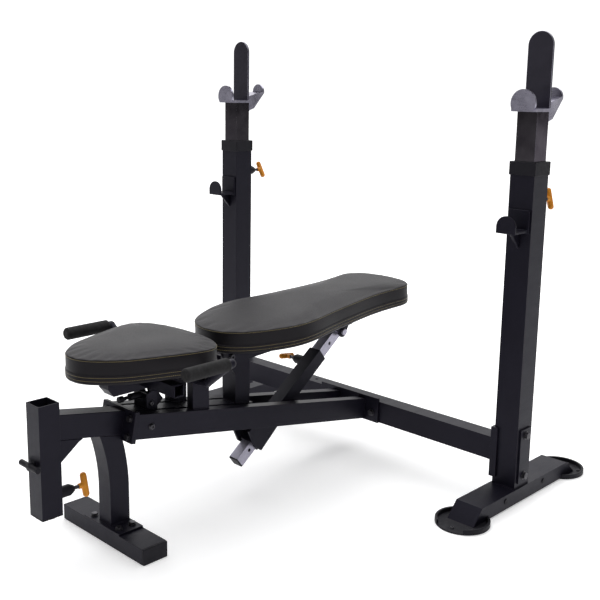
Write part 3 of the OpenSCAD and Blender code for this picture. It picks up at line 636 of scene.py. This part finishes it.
def staples(name, cushion, body):
    """Staples that hold the cover's fold to the board."""
    points = cushion.ring_points("fold")
    vertices, faces = [], []
    for i in range(0, OUTLINE_POINTS, 5):
        centre = points[i] + np.append(cushion.normal[i] * 9 * MM, -0.35 * MM)
        along = np.append(cushion.normal[i][::-1] * (1, -1), 0.0)
        across = np.append(cushion.normal[i], 0.0)
        base = len(vertices)
        for dx, dy, dz in [(a, b, c) for a in (-5, 5) for b in (-0.6, 0.6) for c in (-0.3, 0.3)]:
            vertices.append(centre + along * dx * MM + across * dy * MM + np.array([0, 0, dz * MM]))
        for face in ((0, 1, 3, 2), (4, 6, 7, 5), (0, 4, 5, 1), (2, 3, 7, 6), (0, 2, 6, 4), (1, 5, 7, 3)):
            faces.append(tuple(base + k for k in face))
    piece = new_object(name, vertices, faces, MATERIAL_OF_SLOT["zinc_tube"], smooth=False)
    piece.data.transform(cushion.place)
    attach(piece, body)


PAD_DEPTH = 58 * MM
BOARD_MIDDLE_DEPTH = 54 * MM
STITCH_DEPTHS = (50 * MM, 42 * MM)
CROWNS = {"seat": 9 * MM, "backrest": 14 * MM}
# each row: ring, distance below it, distance out from it
STITCH_ROWS = (
    ("seam", 1.4 * MM, 0.75 * MM),
    ("stitch_high", 0.0, 0.25 * MM),
    ("stitch_low", 0.0, 0.25 * MM),
)


def cushion_frame(board):
    """Centre and tilt of a cushion's seam plane, from the board under it."""
    mesh = frame["nodes"][board].data
    under = max(mesh.polygons, key=lambda face: face.area if face.normal.z < -0.9 else 0)
    tilt = math.atan2(under.normal.y, -under.normal.z)
    turn = Matrix.Rotation(tilt, 4, "X")
    points = np.array([turn.inverted() @ v.co for v in mesh.vertices])
    middle = (points.min(0) + points.max(0)) / 2
    return turn @ Vector((0, middle[1], middle[2] + BOARD_MIDDLE_DEPTH)), tilt


def make_cushion(body):
    """The cushion of the seat or the backrest, with its threads and staples."""
    centre, tilt = cushion_frame(body + "_board")
    cushion = Cushion(
        body + "_cushion", body + "_pad", centre, tilt, PAD_DEPTH, CROWNS[body], STITCH_DEPTHS,
    )
    cushion.inflate(pressure=3.0, cap=4 * MM)
    for label, drop, lift in STITCH_ROWS:
        points = cushion.ring_points(label)
        points[:, 2] -= drop
        stitch_row(f"{body}_{label}_thread", points, cushion, lift, body)
    staples(body + "_staples", cushion, body)
    cushion.finish(body, body + "_pad", body + "_board")


for cushion_name in CROWNS:
    make_cushion(cushion_name)


# ---- Moulded handles and grips ----

HANDLE_DEPTH = 25.5 * MM


def t_handle(node, body, axis):
    """Pull pin with a soft-edged orange T-handle; axis points away from its housing."""
    piece = moulded_copy(node + "_handle", node, 0.8 * MM, 6, [orange, bolts])
    axis = Vector(axis)
    far = max(v.co.dot(axis) for v in piece.data.vertices)
    for polygon in piece.data.polygons:
        polygon.material_index = 0 if polygon.center.dot(axis) > far - HANDLE_DEPTH else 1
    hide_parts(node)
    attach(piece, body)


t_handle("upright_pin_left", "upright_pin_left", (0, 1, 0))
t_handle("upright_pin_right", "upright_pin_right", (0, 1, 0))
t_handle("receiver_pin", "receiver_pin", (0, 1, 0))
t_handle("strut_pin", "strut_pin", (-1, 0, 0))


def soft_replacement(node, body, voxel, rounds, material):
    """A rounded, moulded piece in place of a CAD node."""
    piece = moulded_copy(node + "_skin", node, voxel, rounds, [material])
    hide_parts(node)
    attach(piece, body)


soft_replacement("foam_grips", "seat", 1.6 * MM, 8, foam)
soft_replacement("clamp_screw", "clamp_screw", 0.8 * MM, 4, black_plastic)


# ---- Weld beads ----

BEAD_SIDES = 8
BEAD_RADIUS = 1.9 * MM
BEAD_RING_GAP = 0.6 * MM
BEAD_SCALLOP = 3.4 * MM
BASE_SLICE = 16 * MM


def bead_run(start, end, vertices, faces):
    """One straight, scalloped weld bead that tapers at its ends."""
    length = (end - start).length
    along = (end - start) / length
    side = along.cross(Vector((0, 0, 1))).normalized()
    up = side.cross(along)
    rings = max(6, int(length / BEAD_RING_GAP))
    base = len(vertices)
    for r in range(rings + 1):
        t = r / rings
        scallop = 0.8 + 0.2 * abs(math.sin(math.pi * t * length / BEAD_SCALLOP))
        taper = min(1.0, 0.25 + min(t, 1 - t) * length / (2 * MM))
        for k in range(BEAD_SIDES):
            turn = 2 * math.pi * k / BEAD_SIDES
            offset = (side * math.cos(turn) + up * math.sin(turn)) * BEAD_RADIUS * scallop * taper
            vertices.append(start.lerp(end, t) + offset)
    for r in range(rings):
        for k in range(BEAD_SIDES):
            j = (k + 1) % BEAD_SIDES
            a, b = base + r * BEAD_SIDES, base + (r + 1) * BEAD_SIDES
            faces.append((a + k, a + j, b + j, b + k))
    faces.append(tuple(base + k for k in reversed(range(BEAD_SIDES))))
    faces.append(tuple(base + rings * BEAD_SIDES + k for k in range(BEAD_SIDES)))


def base_corners(node, side):
    """The four lowest corners of a post, on one side of the bench when side is 1 or -1."""
    points = [v.co for v in frame["nodes"][node].data.vertices if v.co.x * side >= 0]
    lowest = min(p.z for p in points)
    points = [p for p in points if p.z < lowest + BASE_SLICE]
    xs = min(p.x for p in points), max(p.x for p in points)
    ys = min(p.y for p in points), max(p.y for p in points)
    corners = []
    for x, y in ((xs[0], ys[0]), (xs[1], ys[0]), (xs[1], ys[1]), (xs[0], ys[1])):
        nearest = min(points, key=lambda p: (p.x - x) ** 2 + (p.y - y) ** 2 + 0.1 * (p.z - lowest) ** 2)
        corners.append(Vector((x, y, nearest.z)))
    return corners


def weld_round(name, node, sides=(0,)):
    """Weld beads around the foot of a post."""
    vertices, faces = [], []
    for side in sides:
        corners = base_corners(node, side)
        for start, end in zip(corners, corners[1:] + corners[:1]):
            bead_run(start, end, vertices, faces)
    piece = new_object(name, vertices, faces, frame_paint)
    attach(piece, "frame")


weld_round("upright_right_weld", "upright_right")
weld_round("upright_left_weld", "upright_left")
weld_round("front_leg_weld", "front_leg")
weld_round("backrest_post_weld", "backrest_post")
weld_round("seat_post_weld", "seat_hinge_posts", (1, -1))


# ---- Stage, light and camera ----


FLOOR_RADIUS = 30.0
FLOOR_DROP = 0.4 * MM
FLOOR_CORNERS = 64


def make_floor():
    turns = [2 * math.pi * k / FLOOR_CORNERS for k in range(FLOOR_CORNERS)]
    rim = [(FLOOR_RADIUS * math.cos(turn), FLOOR_RADIUS * math.sin(turn), -FLOOR_DROP) for turn in turns]
    floor = new_object("floor", rim, [tuple(range(FLOOR_CORNERS))], pale_floor())


def area_light(name, place, target, size, watts, colour=(1, 1, 1)):
    data = bpy.data.lights.new(name, "AREA")
    data.shape = "RECTANGLE"
    data.size, data.size_y = size
    data.energy = watts
    data.color = colour
    light = bpy.data.objects.new(name, data)
    light.location = place
    light.rotation_euler = (Vector(target) - Vector(place)).to_track_quat("-Z", "Y").to_euler()
    bpy.context.scene.collection.objects.link(light)


BACKDROP_WAY = (-0.70, 0.71, 0.05)
BACKDROP_LIGHT = 1.2
ROOM_LIGHT = 0.22


def make_world():
    """White backdrop behind the bench, a dimmer room in front of it."""
    world = bpy.data.worlds.new("studio")
    world.use_nodes = True
    tree = world.node_tree
    background = tree.nodes["Background"]
    background.inputs["Color"].default_value = (1.0, 1.0, 1.0, 1)
    place = tree.nodes.new("ShaderNodeTexCoord")
    towards = tree.nodes.new("ShaderNodeVectorMath")
    towards.operation = "DOT_PRODUCT"
    towards.inputs[1].default_value = BACKDROP_WAY
    fade = tree.nodes.new("ShaderNodeMapRange")
    limits = {"From Min": 0.3, "From Max": 0.8, "To Min": ROOM_LIGHT, "To Max": BACKDROP_LIGHT}
    for key, number in limits.items():
        fade.inputs[key].default_value = number
    tree.links.new(place.outputs["Generated"], towards.inputs[0])
    tree.links.new(towards.outputs["Value"], fade.inputs["Value"])
    tree.links.new(fade.outputs["Result"], background.inputs["Strength"])
    bpy.context.scene.world = world


CAMERA_PLACE = (1.7965, -1.7422, 1.1008)
CAMERA_YAW = math.radians(44.68)
CAMERA_PITCH = math.radians(11.0)
CAMERA_ROLL = math.radians(0.78)
CAMERA_LENS = 55.57
CAMERA_SHIFT = (0.0258, -0.0529)


def make_camera():
    data = bpy.data.cameras.new("camera")
    data.sensor_width = 36.0
    data.lens = CAMERA_LENS
    data.shift_x, data.shift_y = CAMERA_SHIFT
    data.clip_end = 200.0
    camera = bpy.data.objects.new("camera", data)
    yaw, pitch, roll = CAMERA_YAW, CAMERA_PITCH, CAMERA_ROLL
    forward = Vector((-math.sin(yaw) * math.cos(pitch), math.cos(yaw) * math.cos(pitch), -math.sin(pitch)))
    right = Vector((math.cos(yaw), math.sin(yaw), 0))
    up = right.cross(forward)
    turned_right = right * math.cos(roll) + up * math.sin(roll)
    turned_up = -right * math.sin(roll) + up * math.cos(roll)
    turn = Matrix((turned_right, turned_up, -forward)).transposed()
    camera.matrix_world = Matrix.Translation(CAMERA_PLACE) @ turn.to_4x4()
    bpy.context.scene.collection.objects.link(camera)
    bpy.context.scene.camera = camera


make_floor()
make_world()
area_light("overhead_softbox", (-0.5, 0.6, 3.8), (0, 0, 0.3), (6.0, 6.0), 230)
area_light("front_key", (-1.2, -3.6, 2.6), (0, 0, 0.4), (2.0, 1.4), 7)
area_light("side_fill", (3.8, 0.8, 1.8), (0, 0, 0.4), (1.8, 1.4), 4, (0.88, 0.88, 1.0))
make_camera()
bpy.context.scene.view_settings.view_transform = "Standard"
